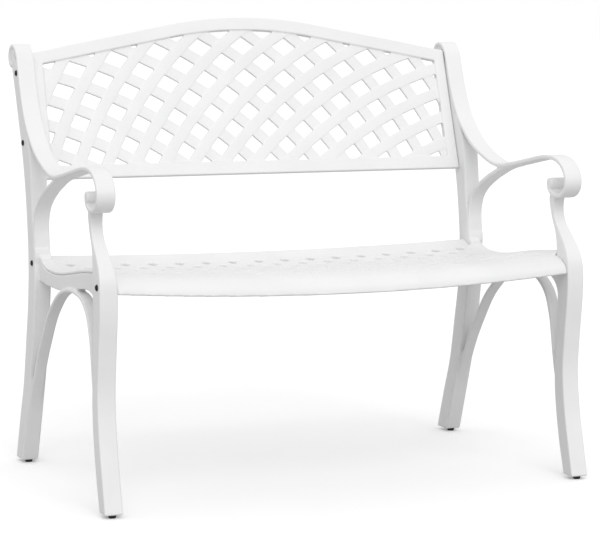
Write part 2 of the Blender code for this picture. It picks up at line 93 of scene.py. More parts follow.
# Back panel: PANEL_BOTTOM is the (y, z) of its front lower edge.
PANEL_HALF = 0.4731
PANEL_THICKNESS = 0.0140
PANEL_LEAN = math.atan(0.343)
PANEL_BOTTOM = (0.2185, 0.6010)
PANEL_STILE = 0.0226
PANEL_RAIL = 0.0275
PANEL_CROWN = 0.3490
PANEL_EDGE = 0.0018
CROWN_RADIUS = 0.8600
CROWN_REACH = 0.1670
CROWN_STEPS = 36
OPENING_SHIFT = -0.0015
LATTICE_SHIFT = -0.0025
WEB_FRONT = 0.0045
WEB_BACK = 0.0110
WEB_REACH = 0.0020
RIB_FRONT = 0.0035
RIB_REACH = 0.0016
RIB_ROOT = 0.0030
OPENING_REACH = 0.0005
LATTICE_WIDTH = 0.0245
RIB_WIDTH = 0.0237
LATTICE_FIRST = -9
LATTICE_LAST = 7
SMALLEST_HOLE = 0.00005
# Lattice circles: the value for bar 0, and how it grows with a bar's number and with its square.
CIRCLE_X = (0.6503, 0.0337, -0.00166)
CIRCLE_Y = (-0.5896, -0.0523, -0.00019)
CIRCLE_RADIUS = (0.9494, 0.0065, -0.00040)

# Seat: it bows forward and hangs lower in the middle than at its ends.
SEAT_HALF = 0.4734
SEAT_THICKNESS = 0.0075
SEAT_BOW = 0.0300
SEAT_DIP_REAR = 0.0090
SEAT_DIP_FRONT = 0.0148
SEAT_PITCH = 0.0587
SEAT_STRIP = 0.0245
SEAT_COLUMNS = 40
SEAT_ROW_STEPS = 4
SEAT_BORDER = 0.0105
SEAT_REAR_BORDER = 0.0345
SEAT_WINDOW_FRONT = -0.2150
SEAT_WINDOW_STEPS = 24
SEAT_CUT_LOW = 0.3000
SEAT_CUT_HIGH = 0.6000
SEAT_RIB = 0.0090
SEAT_RIB_INSET = 0.0006

# Seat ends: each rises from its root and lies over the lowered rail beside it as a lip.
LIP_REAR = 0.1580
LIP_FRONT = -0.2290
LIP_ROOT = 0.4640
LIP_OUTER = 0.4984
LIP_THICKNESS = 0.0060
LIP_GAP = 0.0008
LIP_SINK = 0.0010
LIP_STEPS = 48

# Fasteners and feet: HEAD_FLAT is the share of a head's radius that its dome leaves flat.
SHANK_RADIUS = 0.0030
TIP_RADIUS = 0.0024
TIP_HEIGHT = 0.0009
HEAD_RADIUS = 0.0050
HEAD_HEIGHT = 0.0018
HEAD_LAND = 0.0007
HEAD_FLAT = 0.55
HEAD_STEPS = 8
SOCKET_RADIUS = 0.0022
SOCKET_DEPTH = 0.0012
SOCKET_SIDES = 6
WASHER_RADIUS = 0.0063
WASHER_BORE = 0.0033
WASHER_THICKNESS = 0.0007
WASHER_CHAMFER = 0.0002
GLIDE_TOP = 0.0080
GLIDE_BOTTOM = 0.0069
GLIDE_ROUND = 0.0012
GLIDE_STEPS = 5
GLIDE_BAND = 0.0012
GLIDE_GAP = 0.0003
STEM_RADIUS = 0.0028
LATHE_STEPS = 64
FASTENER_SHARP = math.radians(35)
GLIDE_SHARP = math.radians(40)

# Melting: the size of the cells, the easing passes and the most triangles that a casting keeps.
FRAME_CELL = 0.0016
PANEL_CELL = 0.0014
SEAT_CELL = 0.0018
EASING = 0.5
FRAME_PASSES = 2
PANEL_PASSES = 2
SEAT_PASSES = 5
FRAME_TRIANGLES = 150000
PANEL_TRIANGLES = 190000
SEAT_TRIANGLES = 180000

# Finishes: colours are linear.
COAT_WHITE = (0.80, 0.80, 0.80)
COAT_COOL = (0.795, 0.797, 0.800)
COAT_WARM = (0.822, 0.822, 0.820)
# COAT_CREASE_SHADE is painted shade: the darker colour given to the coat in its inner corners and creases.
COAT_CREASE_SHADE = (0.735, 0.732, 0.722)
COAT_WORN = (0.720, 0.720, 0.725)
STEEL_BLACK = (0.018, 0.018, 0.019)
STEEL_DARK = (0.015, 0.015, 0.016)
STEEL_RUBBED = (0.060, 0.060, 0.062)
PLASTIC_BLACK = (0.014, 0.014, 0.014)
PLASTIC_DARK = (0.012, 0.012, 0.012)
PLASTIC_SCUFFED = (0.050, 0.050, 0.049)

# Studio: angles are in degrees. BOUNCE_GREY is the floor's colour for the light that it throws upwards.
CAMERA_PLACE = (-1.7534, -4.3909, 0.9385)
CAMERA_PITCH = 90 - 4.61
CAMERA_YAW = -21.94
CAMERA_LENS = 138.44
CAMERA_SENSOR = 36.0
CAMERA_SHIFT = -0.1158
CAMERA_REACH = 200.0
KEY_STRENGTH = 0.97
KEY_SPREAD = 45.0
KEY_DIRECTION = (0.05, 0.34, -0.26)
SURROUND_LIGHT = 0.88
SURROUND_SEEN = 1.0
FLOOR_SIZE = 60.0
FLOOR_CELLS = 4
FLOOR_WHITE = (0.93, 0.93, 0.93)
FLOOR_DARK = (0.925, 0.925, 0.925)
FLOOR_LIGHT = (0.935, 0.935, 0.935)
FLOOR_GLOW = 0.12
BOUNCE_GREY = (0.51, 0.51, 0.51)
WHITE = (1.0, 1.0, 1.0)

# Profiles as (y, z) points: the smooth outlines of the castings, and a pad and a heel with straight sides.
ARM_FACE = [
    (0.3400, 0.8260), (0.3545, 0.8335), (0.3600, 0.8480), (0.3560, 0.8635), (0.3435, 0.8730),
    (0.3260, 0.8755), (0.3090, 0.8690), (0.2945, 0.8530), (0.2850, 0.8290), (0.2680, 0.7830),
    (0.2430, 0.7350), (0.2100, 0.6965), (0.1640, 0.6620), (0.1060, 0.6370), (0.0400, 0.6215),
    (-0.0300, 0.6285), (-0.1000, 0.6400), (-0.1700, 0.6505), (-0.2200, 0.6490), (-0.2520, 0.6350),
    (-0.2690, 0.6120), (-0.2695, 0.5910), (-0.2560, 0.5745), (-0.2330, 0.5665), (-0.2090, 0.5690),
    (-0.1925, 0.5800), (-0.1880, 0.5940),
]
POST_REAR = [
    (0.3290, FOOT_Z), (0.2970, 0.0925), (0.2660, 0.1720), (0.2440, 0.2650), (0.2265, 0.3450),
    (0.2200, 0.4300), (0.2265, 0.5050), (0.2400, 0.5800), (0.2600, 0.6500), (0.2880, 0.7190),
    (0.3160, 0.7850), (0.3400, 0.8350),
]
POST_FRONT = [
    (0.3180, 0.8500), (0.2940, 0.8200), (0.2760, 0.7830), (0.2500, 0.7350), (0.2200, 0.6890),
    (0.2030, 0.6500), (0.1950, 0.6000), (0.1900, 0.5500), (0.1815, 0.5050), (0.1735, 0.4500),
    (0.1710, 0.3900), (0.1790, 0.3360), (0.1960, 0.2520), (0.2235, 0.1660), (0.2550, 0.0780),
    (0.2815, FOOT_Z),
]
LEG_REAR = [
    (-0.1950, 0.5790), (-0.1885, 0.5620), (-0.1960, 0.5340), (-0.2045, 0.5160), (-0.2165, 0.4960),
    (-0.2260, 0.4700), (-0.2320, 0.4350), (-0.2375, 0.3850), (-0.2375, 0.3250), (-0.2310, 0.2550),
    (-0.2280, 0.2000), (-0.2340, 0.1420), (-0.2500, 0.0700), (-0.2700, FOOT_Z),
]
LEG_FRONT = [
    (-0.3075, FOOT_Z), (-0.2895, 0.0730), (-0.2725, 0.1445), (-0.2645, 0.2180), (-0.2715, 0.2945),
    (-0.2805, 0.3600), (-0.2830, 0.4050), (-0.2790, 0.4430), (-0.2630, 0.4700), (-0.2390, 0.4950),
    (-0.2200, 0.5140), (-0.2105, 0.5320), (-0.2085, 0.5490), (-0.2130, 0.5700),
]
ARCH_INNER = [
    (-0.2450, 0.1200), (-0.2300, 0.1650), (-0.2150, 0.2080), (-0.2050, 0.2500), (-0.1980, 0.2885),
    (-0.1890, 0.3250), (-0.1700, 0.3640), (-0.1360, 0.3890), (-0.0960, 0.3970), (-0.0550, 0.3980),
    (-0.0150, 0.3920), (0.0250, 0.3790), (0.0640, 0.3560), (0.1050, 0.3230), (0.1450, 0.2750),
    (0.1790, 0.2295), (0.2060, 0.1845), (0.2310, 0.1380), (0.2530, 0.0900),
]
FOOT_PAD = [
    (0.1900, 0.4620), (0.1712, 0.4620), (0.1695, 0.4540), (0.1690, 0.4440), (0.1730, 0.4280),
    (0.1900, 0.4240),
]
RAIL_TOP = [
    (0.2000, 0.4560), (0.1725, 0.4530), (0.1655, 0.4455), (0.1540, 0.4385), (0.1390, 0.4330),
    (0.1200, 0.4290), (0.0850, 0.4275), (0.0500, 0.4280), (0.0000, 0.4325), (-0.0600, 0.4410),
    (-0.1170, 0.4490), (-0.1700, 0.4545), (-0.2150, 0.4570), (-0.2550, 0.4550),
]
RAIL_BOTTOM = [
    (-0.2550, 0.3400), (-0.2385, 0.3700), (-0.2280, 0.3900), (-0.2090, 0.4030), (-0.1830, 0.4115),
    (-0.1435, 0.4130), (-0.0900, 0.4070), (-0.0485, 0.4010), (0.0075, 0.3930), (0.0645, 0.3910),
    (0.1305, 0.3930), (0.1980, 0.3980),
]
BRACE_LINE = [
    (0.1765, 0.4580), (0.1780, 0.4800), (0.1795, 0.5000), (0.1760, 0.5220), (0.1660, 0.5420),
    (0.1500, 0.5570), (0.1300, 0.5695), (0.1080, 0.5805), (0.0850, 0.5905), (0.0600, 0.5995),
    (0.0350, 0.6085), (0.0050, 0.6165), (-0.0300, 0.6230),
]
RAIL_HEEL = [
    (0.1900, 0.4560), (0.1725, 0.4530), (0.1655, 0.4455), (0.1600, 0.4415), (0.1600, 0.4250),
    (0.1900, 0.4250),
]
SEAT_TOP = [
    (0.1960, 0.4450), (0.1660, 0.4345), (0.1250, 0.4270), (0.0850, 0.4250), (0.0350, 0.4265),
    (-0.0350, 0.4340), (-0.1050, 0.4440), (-0.1650, 0.4500), (-0.2150, 0.4510), (-0.2450, 0.4475),
    (-0.2640, 0.4400), (-0.2760, 0.4300), (-0.2805, 0.4175),
]
SEAT_RIB_BOTTOM = [
    (-0.2775, 0.4190), (-0.2600, 0.4180), (-0.2300, 0.4240), (-0.1500, 0.4250), (-0.0500, 0.4130),
    (0.0450, 0.4030), (0.1200, 0.4040), (0.1930, 0.4180),
]

SIDE_VIEW = Matrix(((0, 0, 1, 0), (1, 0, 0, 0), (0, 1, 0, 0), (0, 0, 0, 1)))
TOP_VIEW = Matrix.Identity(4)


# ---- curves and outlines ---------------------------------------------------------------------------------
def smooth(knots, steps=CURVE_STEPS):
    """Points on a Catmull-Rom curve through the knots."""
    ends = [Vector(knots[0]) * 2 - Vector(knots[1]), Vector(knots[-1]) * 2 - Vector(knots[-2])]
    chain = [ends[0]] + [Vector(knot) for knot in knots] + [ends[1]]
    points = []
    for index in range(1, len(chain) - 2):
        before, start, end, after = chain[index - 1:index + 3]
        for step in range(steps):
            t = step / steps
            points.append(
                start
                + (end - before) * (t * 0.5)
                + (before * 2 - start * 5 + end * 4 - after) * (t * t * 0.5)
                + (start * 3 - before - end * 3 + after) * (t ** 3 * 0.5)
            )
    points.append(chain[-2])
    return points


def offset(points, distance):
    """The line moved sideways, to the left of its direction for a positive distance."""
    moved = []
    for index, point in enumerate(points):
        before = points[max(index - 1, 0)]
        after = points[min(index + 1, len(points) - 1)]
        along = (after - before).normalized()
        moved.append(point + Vector((-along.y, along.x)) * distance)
    return moved


def band(points, left, right):
    """A closed outline around a line, from one side of it to the other."""
    return offset(points, left) + offset(points, -right)[::-1]


def clip(outline, window):
    """The part of an outline inside a convex, counter-clockwise window."""
    result = list(outline)
    for index, start in enumerate(window):
        end = window[(index + 1) % len(window)]
        edge = end - start
        source = result
        result = []
        for place, point in enumerate(source):
            previous = source[place - 1]
            side = edge.cross(point - start)
            side_before = edge.cross(previous - start)
            if side * side_before < 0:
                share = side_before / (side_before - side)
                result.append(previous.lerp(point, share))
            if side >= 0:
                result.append(point)
    return result


def area(outline):
    return abs(sum(outline[i - 1].cross(outline[i]) for i in range(len(outline)))) / 2


def quarter_turn(steps):
    """Angles from 0 to a right angle."""
    return [math.pi / 2 * step / steps for step in range(steps + 1)]


# ---- meshes ----------------------------------------------------------------------------------------------
def evaluated(body):
    """The body's mesh with its modifiers applied."""
    bpy.context.view_layer.update()
    return bpy.data.meshes.new_from_object(body.evaluated_get(bpy.context.evaluated_depsgraph_get()))


def shown(name, data):
    """A new object in the scene."""
    body = bpy.data.objects.new(name, data)
    bpy.context.scene.collection.objects.link(body)
    return body


def built(name, shape):
    """The shape under construction as a finished mesh."""
    mesh = bpy.data.meshes.new(name)
    shape.to_mesh(mesh)
    shape.free()
    return mesh


def plate(outlines, low, high, placing, edge=0.0):
    """Flat outlines made solid between two heights of their own frame, with rounded edges."""
    data = bpy.data.curves.new("outline", "CURVE")
    data.dimensions = "2D"
    data.fill_mode = "BOTH"
    data.extrude = (high - low) / 2 - edge
    data.bevel_depth = edge
    data.bevel_resolution = EDGE_ROUNDING
    data.offset = -edge
    for outline in outlines:
        spline = data.splines.new("POLY")
        spline.points.add(len(outline) - 1)
        for point, place in zip(spline.points, outline):
            point.co = (place[0], place[1], 0.0, 1.0)
        spline.use_cyclic_u = True
    drawn = shown("outline", data)
    mesh = evaluated(drawn)
    bpy.data.objects.remove(drawn, do_unlink=True)
    shape = bmesh.new()
    shape.from_mesh(mesh)
    bmesh.ops.remove_doubles(shape, verts=shape.verts, dist=MERGE)
    bmesh.ops.translate(shape, verts=shape.verts, vec=(0, 0, (low + high) / 2))
    bmesh.ops.transform(shape, matrix=placing, verts=shape.verts)
    bmesh.ops.recalc_face_normals(shape, faces=shape.faces)
    shape.to_mesh(mesh)
    shape.free()
    return mesh


def turned(profile, origin, direction, steps=LATHE_STEPS, closed=False):
    """A profile of (radius, height) points turned about an axis."""
    shape = bmesh.new()
    corners = [shape.verts.new((radius, 0, height)) for radius, height in profile]
    pairs = list(zip(corners, corners[1:]))
    if closed:
        pairs.append((corners[-1], corners[0]))
    edges = [shape.edges.new(pair) for pair in pairs]
    bmesh.ops.spin(
        shape,
        geom=corners + edges,
        cent=(0, 0, 0),
        axis=(0, 0, 1),
        angle=2 * math.pi,
        steps=steps,
        use_merge=True,
    )
    bmesh.ops.remove_doubles(shape, verts=shape.verts, dist=MERGE)
    bmesh.ops.recalc_face_normals(shape, faces=shape.faces)
    turn = Vector(direction).to_track_quat("Z", "Y").to_matrix().to_4x4()
    bmesh.ops.transform(shape, matrix=Matrix.Translation(origin) @ turn, verts=shape.verts)
    return built("turned", shape)


def rounded_rod(radius, x, half, place, edge):
    """A round bar along X with rounded rims."""
    rim = [
        (radius - edge + edge * math.sin(angle), half - edge + edge * math.cos(angle))
        for angle in quarter_turn(ROD_STEPS)
    ]
    profile = [(0, half)] + rim + [(r, -h) for r, h in reversed(rim)] + [(0, -half)]
    return turned(profile, (x, *place), (1, 0, 0))


def sheet(grid, thickness):
    """Rows of points joined into a sheet, which is made solid below them."""
    shape = bmesh.new()
    rows = [[shape.verts.new(point) for point in line] for line in grid]
    for first, second in zip(rows, rows[1:]):
        for column in range(len(first) - 1):
            shape.faces.new((first[column], second[column], second[column + 1], first[column + 1]))
    body = shown("sheet", built("sheet", shape))
    thick = body.modifiers.new("thickness", "SOLIDIFY")
    thick.thickness = thickness
    thick.offset = -1
    thick.use_even_offset = True
    solid = evaluated(body)
    bpy.data.objects.remove(body, do_unlink=True)
    return solid


def mirrored(mesh):
    """The same mesh for the other side of the bench."""
    copy = mesh.copy()
    copy.transform(Matrix.Scale(-1, 4, (1, 0, 0)))
    copy.flip_normals()
    return copy


def cut(mesh, cutter):
    """The mesh with the cutter's space taken out of it."""
    body = shown("body", mesh)
    tool = shown("tool", cutter)
    modifier = body.modifiers.new("cut", "BOOLEAN")
    modifier.operation = "DIFFERENCE"
    modifier.solver = "EXACT"
    modifier.object = tool
    result = evaluated(body)
    bpy.data.objects.remove(body, do_unlink=True)
    bpy.data.objects.remove(tool, do_unlink=True)
    return result


def one_shell(mesh):
    """Leaves the mesh only its largest skin, without the specks that melting can leave inside it."""
    shape = bmesh.new()
    shape.from_mesh(mesh)
    waiting = set(shape.verts)
    shells = []
    while waiting:
        reached = [waiting.pop()]
        for vertex in reached:
            for edge in vertex.link_edges:
                neighbour = edge.other_vert(vertex)
                if neighbour in waiting:
                    waiting.discard(neighbour)
                    reached.append(neighbour)
        shells.append(reached)
    shells.sort(key=len)
    specks = [vertex for shell in shells[:-1] for vertex in shell]
    bmesh.ops.delete(shape, geom=specks, context="VERTS")
    shape.to_mesh(mesh)
    shape.free()


def melted(name, meshes, cell, passes, most):
    """Closed bodies that overlap, as one skin with eased edges and filleted inner corners."""
    shape = bmesh.new()
    for mesh in meshes:
        shape.from_mesh(mesh)
        bpy.data.meshes.remove(mesh)
    body = shown(name, built(name, shape))
    melt = body.modifiers.new("melt", "REMESH")
    melt.mode = "VOXEL"
    melt.voxel_size = cell
    ease = body.modifiers.new("ease", "SMOOTH")
    ease.factor = EASING
    ease.iterations = passes
    body.data = evaluated(body)
    body.modifiers.clear()
    triangles = sum(len(face.vertices) - 2 for face in body.data.polygons)
    if triangles > most:
        thin = body.modifiers.new("thin", "DECIMATE")
        thin.ratio = most / triangles
        body.data = evaluated(body)
        body.modifiers.clear()
    one_shell(body.data)
    body.data.transform(Matrix.Translation((0, SHIFT_Y, 0)))
    body.data.shade_smooth()
    return body


def place_piece(body, node, slot):
    """The finished piece: painted, riding on the frame, and shown instead of its CAD node."""
    body.data.materials.clear()
    body.data.materials.append(FINISHES[slot])
    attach(body, "root")
    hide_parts(node)


# ---- node materials --------------------------------------------------------------------------------------
class Paintbox:
    """A new Principled material and short calls for the nodes that feed it."""

    def __init__(self, name, colour, roughness, metallic=0.0):
        self.material = bpy.data.materials.new(name)
        self.material.use_nodes = True
        self.tree = self.material.node_tree
        self.shader = self.tree.nodes["Principled BSDF"]
        self.shader.inputs["Base Color"].default_value = (*colour, 1.0)
        self.shader.inputs["Roughness"].default_value = roughness
        self.shader.inputs["Metallic"].default_value = metallic
        self.place = self.tree.nodes.new("ShaderNodeTexCoord").outputs["Object"]

    def link(self, source, target):
        self.tree.links.new(source, target)

    def noise(self, scale, detail=2.0, roughness=0.5):
        """Uneven values around a half, finer at a larger scale."""
        node = self.tree.nodes.new("ShaderNodeTexNoise")
        node.inputs["Scale"].default_value = scale
        node.inputs["Detail"].default_value = detail
        node.inputs["Roughness"].default_value = roughness
        self.link(self.place, node.inputs["Vector"])
        return node.outputs["Fac"]

    def spread(self, value, low, high, to_low=0.0, to_high=1.0):
        """A value between low and high, stretched over the new range and held inside it."""
        node = self.tree.nodes.new("ShaderNodeMapRange")
        node.inputs["From Min"].default_value = low
        node.inputs["From Max"].default_value = high
        node.inputs["To Min"].default_value = to_low
        node.inputs["To Max"].default_value = to_high
        self.link(value, node.inputs["Value"])
        return node.outputs["Result"]

    def mix(self, share, first, second):
        """Two colours, or the colour so far and a new one, mixed by a share from the nodes."""
        node = self.tree.nodes.new("ShaderNodeMix")
        node.data_type = "RGBA"
        self.link(share, node.inputs["Factor"])
        for colour, socket in ((first, node.inputs["A"]), (second, node.inputs["B"])):
            if isinstance(colour, tuple):
                socket.default_value = (*colour, 1.0)
            else:
                self.link(colour, socket)
        return node.outputs["Result"]

    def bump(self, height, distance, strength, under=None):
        node = self.tree.nodes.new("ShaderNodeBump")
        node.inputs["Distance"].default_value = distance
        node.inputs["Strength"].default_value = strength
        self.link(height, node.inputs["Height"])
        if under is not None:
            self.link(under, node.inputs["Normal"])
        return node.outputs["Normal"]


def powder_coat():
    """White powder coat on cast metal: orange peel, waviness, thin edges and painted shade in the inner
    corners.
    """
    box = Paintbox("white_powder_coat_fine", COAT_WHITE, roughness=0.40)
    pointed = box.tree.nodes.new("ShaderNodeNewGeometry").outputs["Pointiness"]
    mottled = box.mix(box.spread(box.noise(scale=9.0, detail=3.0), 0.35, 0.65), COAT_COOL, COAT_WARM)
    # Painted shade: the coat is darkened in concave creases and inner corners, where shade falls.
    crease_shaded = box.mix(box.spread(pointed, 0.440, 0.485, 1.0, 0.0), mottled, COAT_CREASE_SHADE)
    worn_patches = box.spread(box.noise(scale=140.0, detail=4.0, roughness=0.65), 0.52, 0.66)
    edges = box.spread(pointed, 0.530, 0.575, 0.0, 0.35)
    product = box.tree.nodes.new("ShaderNodeMath")
    product.operation = "MULTIPLY"
    box.link(worn_patches, product.inputs[0])
    box.link(edges, product.inputs[1])
    box.link(box.mix(product.outputs[0], crease_shaded, COAT_WORN), box.shader.inputs["Base Color"])
    sheen = box.spread(box.noise(scale=60.0, detail=3.0), 0.3, 0.7, 0.36, 0.46)
    box.link(sheen, box.shader.inputs["Roughness"])
    waves = box.bump(box.noise(scale=55.0), distance=0.0010, strength=0.10)
    peel = box.bump(box.noise(scale=950.0), distance=0.00025, strength=0.35, under=waves)
    box.link(peel, box.shader.inputs["Normal"])
    return box.material


def blackened_steel():
    """Black coated steel with rubbed spots and a fine grain."""
    box = Paintbox("black_steel_fine", STEEL_BLACK, roughness=0.40, metallic=0.6)
    rubbed = box.spread(box.noise(scale=900.0, detail=4.0, roughness=0.6), 0.55, 0.70)
    box.link(box.mix(rubbed, STEEL_DARK, STEEL_RUBBED), box.shader.inputs["Base Color"])
    box.link(box.spread(box.noise(scale=1500.0), 0.3, 0.7, 0.32, 0.50), box.shader.inputs["Roughness"])
    grain = box.bump(box.noise(scale=2600.0, detail=3.0), distance=0.0001, strength=0.30)
    box.link(grain, box.shader.inputs["Normal"])
    return box.material


def moulded_plastic():
    """Matt black moulded plastic, scuffed a little greyer underfoot."""
    box = Paintbox("black_plastic_fine", PLASTIC_BLACK, roughness=0.60)
    scuffs = box.spread(box.noise(scale=420.0, detail=4.0, roughness=0.7), 0.56, 0.72)
    box.link(box.mix(scuffs, PLASTIC_DARK, PLASTIC_SCUFFED), box.shader.inputs["Base Color"])
    box.link(box.spread(box.noise(scale=800.0), 0.3, 0.7, 0.52, 0.70), box.shader.inputs["Roughness"])
    grain = box.bump(box.noise(scale=1800.0), distance=0.00012, strength=0.35)
    box.link(grain, box.shader.inputs["Normal"])
    return box.material


# ---- side frames -----------------------------------------------------------------------------------------
def leg_width(z):
    """Share of the full leg width: the neck is slim under the scroll and swells to the seat."""
    t = min(max((NECK_TOP - z) / (NECK_TOP - NECK_BOTTOM), 0.0), 1.0)
    blend = t * t * (3 - 2 * t)
    return (NECK_HALF + (LEG_HALF - NECK_HALF) * blend) / LEG_HALF


def right_side_frame():
    def across(outline, half, edge):
        return plate([outline], FRAME_X - half, FRAME_X + half, SIDE_VIEW, edge)

    leg = across(smooth(LEG_REAR) + smooth(LEG_FRONT), LEG_HALF, LEG_EDGE)
    for vertex in leg.vertices:
        vertex.co.x = FRAME_X + (vertex.co.x - FRAME_X) * leg_width(vertex.co.z)
    half_brace = BRACE_THICKNESS / 2
    under_lip = [point - Vector((0, LIP_THICKNESS + LIP_GAP)) for point in smooth(RAIL_TOP)]
    pieces = [
        leg,
        across(smooth(POST_REAR) + smooth(POST_FRONT), POST_HALF, LEG_EDGE),
        across(band(smooth(ARM_FACE), STRIP_THICKNESS, 0.0), STRIP_HALF, STRIP_EDGE),
        across(band(smooth(BRACE_LINE), half_brace, half_brace), BRACE_HALF, THIN_EDGE),
        across(FOOT_PAD, POST_HALF - PAD_INSET, THIN_EDGE),
        across(band(smooth(ARCH_INNER), ARCH_THICKNESS, 0.0), ARCH_HALF, THIN_EDGE),
        plate([under_lip + smooth(RAIL_BOTTOM)], RAIL_INNER, RAIL_OUTER, SIDE_VIEW, RAIL_EDGE),
        plate([RAIL_HEEL], RAIL_INNER, RAIL_OUTER, SIDE_VIEW, RAIL_EDGE),
        rounded_rod(ROLL_RADIUS, FRAME_X, STRIP_HALF - ROLL_INSET, ROLL_CENTRE, THIN_EDGE),
        rounded_rod(BEAD_RADIUS, FRAME_X, STRIP_HALF, BEAD_CENTRE, STRIP_EDGE),
    ]
    return melted("right_side_frame_casting", pieces, FRAME_CELL, FRAME_PASSES, FRAME_TRIANGLES)


# ---- back panel ------------------------------------------------------------------------------------------
def crown(inset, half):
    """The top edge from +x to -x: an arc in the middle, straight tangents down to the sides."""
    radius = CROWN_RADIUS - inset
    middle = PANEL_CROWN - CROWN_RADIUS
    turn = math.asin(CROWN_REACH / CROWN_RADIUS)
    arc = []
    for step in range(CROWN_STEPS + 1):
        angle = turn - 2 * turn * step / CROWN_STEPS
        arc.append(Vector((radius * math.sin(angle), middle + radius * math.cos(angle))))
    drop = (half - arc[0].x) * math.tan(turn)
    return [Vector((half, arc[0].y - drop))] + arc + [Vector((-half, arc[-1].y - drop))]


def panel_window(reach):
    """The opening inside the panel's frame, widened by the given reach."""
    inner = PANEL_HALF - PANEL_STILE + reach
    sill = [Vector((-inner, PANEL_RAIL - reach)), Vector((inner, PANEL_RAIL - reach))]
    shift = Vector((OPENING_SHIFT, 0))
    return [point + shift for point in sill + crown(PANEL_RAIL - reach, inner)]


def lattice_circle(index):
    """Centre and radius of one arched lattice bar that rises to the right."""
    series = (CIRCLE_X, CIRCLE_Y, CIRCLE_RADIUS)
    x, y, radius = (start + slope * index + bend * index ** 2 for start, slope, bend in series)
    return Vector((x, y)), radius


def crossing(rising, falling, rising_side, falling_side):
    """Where the edge of a rising bar meets the edge of a falling one, which mirrors the rising bars."""
    first, first_radius = lattice_circle(rising)
    second, second_radius = lattice_circle(falling)
    second = Vector((-second.x, second.y))
    first_radius += rising_side * LATTICE_WIDTH / 2
    second_radius += falling_side * LATTICE_WIDTH / 2
    gap = second - first
    along = (first_radius ** 2 - second_radius ** 2 + gap.length_squared) / (2 * gap.length)
    height = math.sqrt(first_radius ** 2 - along ** 2)
    unit = gap.normalized()
    up = Vector((unit.y, -unit.x))
    if up.y < 0:
        up = -up
    return first + unit * along + up * height + Vector((LATTICE_SHIFT, 0))


def lattice_openings(window):
    openings = []
    for rising in range(LATTICE_FIRST, LATTICE_LAST):
        for falling in range(LATTICE_FIRST, LATTICE_LAST):
            cell = [
                crossing(rising, falling, -1, -1),
                crossing(rising + 1, falling, 1, -1),
                crossing(rising + 1, falling + 1, 1, 1),
                crossing(rising, falling + 1, -1, 1),
            ]
            opening = clip(cell, window)
            if len(opening) > 2 and area(opening) > SMALLEST_HOLE:
                openings.append(opening)
    return openings


def lattice_ribs(window):
    """The rising bars alone, which stand a little in front of the falling ones."""
    ribs = []
    share = RIB_WIDTH / LATTICE_WIDTH
    for rising in range(LATTICE_FIRST, LATTICE_LAST + 1):
        edges = []
        for side in (share, -share):
            line = []
            for falling in range(LATTICE_FIRST, LATTICE_LAST + 1):
                line.append(crossing(rising, falling, side, 1))
                line.append(crossing(rising, falling, side, -1))
            edges.append(line)
        rib = clip(edges[0] + edges[1][::-1], window)
        if len(rib) > 3 and area(rib) > SMALLEST_HOLE:
            ribs.append(rib)
    return ribs


def back_panel():
    placing = Matrix.Translation((0, *PANEL_BOTTOM)) @ Matrix.Rotation(math.pi / 2 - PANEL_LEAN, 4, "X")
    foot = [Vector((-PANEL_HALF, 0)), Vector((PANEL_HALF, 0))]
    surround = [foot + crown(0.0, PANEL_HALF), panel_window(0.0)]
    web = [panel_window(WEB_REACH)] + lattice_openings(panel_window(OPENING_REACH))
    ribs = lattice_ribs(panel_window(RIB_REACH))
    pieces = [
        plate(surround, -PANEL_THICKNESS, 0.0, placing, PANEL_EDGE),
        plate(web, -WEB_BACK, -WEB_FRONT, placing),
        plate(ribs, -WEB_FRONT - RIB_ROOT, -RIB_FRONT, placing),
    ]
    return melted("back_panel_casting", pieces, PANEL_CELL, PANEL_PASSES, PANEL_TRIANGLES)


# ---- seat ------------------------------------------------------------------------------------------------
def seat_share(y):
    """0 at the rear edge of the seat, 1 at the front."""
    rear = SEAT_TOP[0][0]
    front = SEAT_TOP[-1][0]
    return (rear - y) / (rear - front)


def seat_point(x, y, z):
    """The end section moved to where it lies in the middle: bowed forward and hung lower."""
    share = seat_share(y)
    belly = 1 - (x / SEAT_HALF) ** 2
    dip = SEAT_DIP_REAR + (SEAT_DIP_FRONT - SEAT_DIP_REAR) * share
    return Vector((x, y - SEAT_BOW * share ** 2 * belly, z - dip * belly))


def seat_window():
    inner = SEAT_HALF - SEAT_BORDER
    rear = SEAT_TOP[0][0] - SEAT_REAR_BORDER
    window = [Vector((inner, rear)), Vector((-inner, rear))]
    for step in range(SEAT_WINDOW_STEPS + 1):
        x = -inner + 2 * inner * step / SEAT_WINDOW_STEPS
        window.append(seat_point(x, SEAT_WINDOW_FRONT, 0.0).xy)
    return window


def seat_openings():
    window = seat_window()
    half = SEAT_PITCH / 2 - SEAT_STRIP / math.sqrt(2)
    reach = math.ceil(2 * SEAT_HALF / SEAT_PITCH)
    corners = [Vector(corner) for corner in ((half, 0), (0, half), (-half, 0), (0, -half))]
    openings = []
    for column in range(-reach, reach + 1):
        for row in range(-reach, reach + 1):
            if (column + row) % 2:
                continue
            middle = Vector((column, row)) * SEAT_PITCH / 2
            opening = clip([middle + corner for corner in corners], window)
            if len(opening) > 2 and area(opening) > SMALLEST_HOLE:
                openings.append(opening)
    return openings


def seat_shell():
    """The dished sheet of the seat with its openings cut through."""
    across = [SEAT_HALF * (2 * column / SEAT_COLUMNS - 1) for column in range(SEAT_COLUMNS + 1)]
    grid = [[seat_point(x, y, z) for x in across] for y, z in smooth(SEAT_TOP, SEAT_ROW_STEPS)]
    dished = sheet(grid, SEAT_THICKNESS)
    return cut(dished, plate(seat_openings(), SEAT_CUT_LOW, SEAT_CUT_HIGH, TOP_VIEW))


def height_at(line, y):
    """The height of a line that runs forwards, at the given depth."""
    for start, end in zip(line, line[1:]):
        if end.x <= y <= start.x:
            return start.lerp(end, (start.x - y) / (start.x - end.x)).y
    return line[-1].y


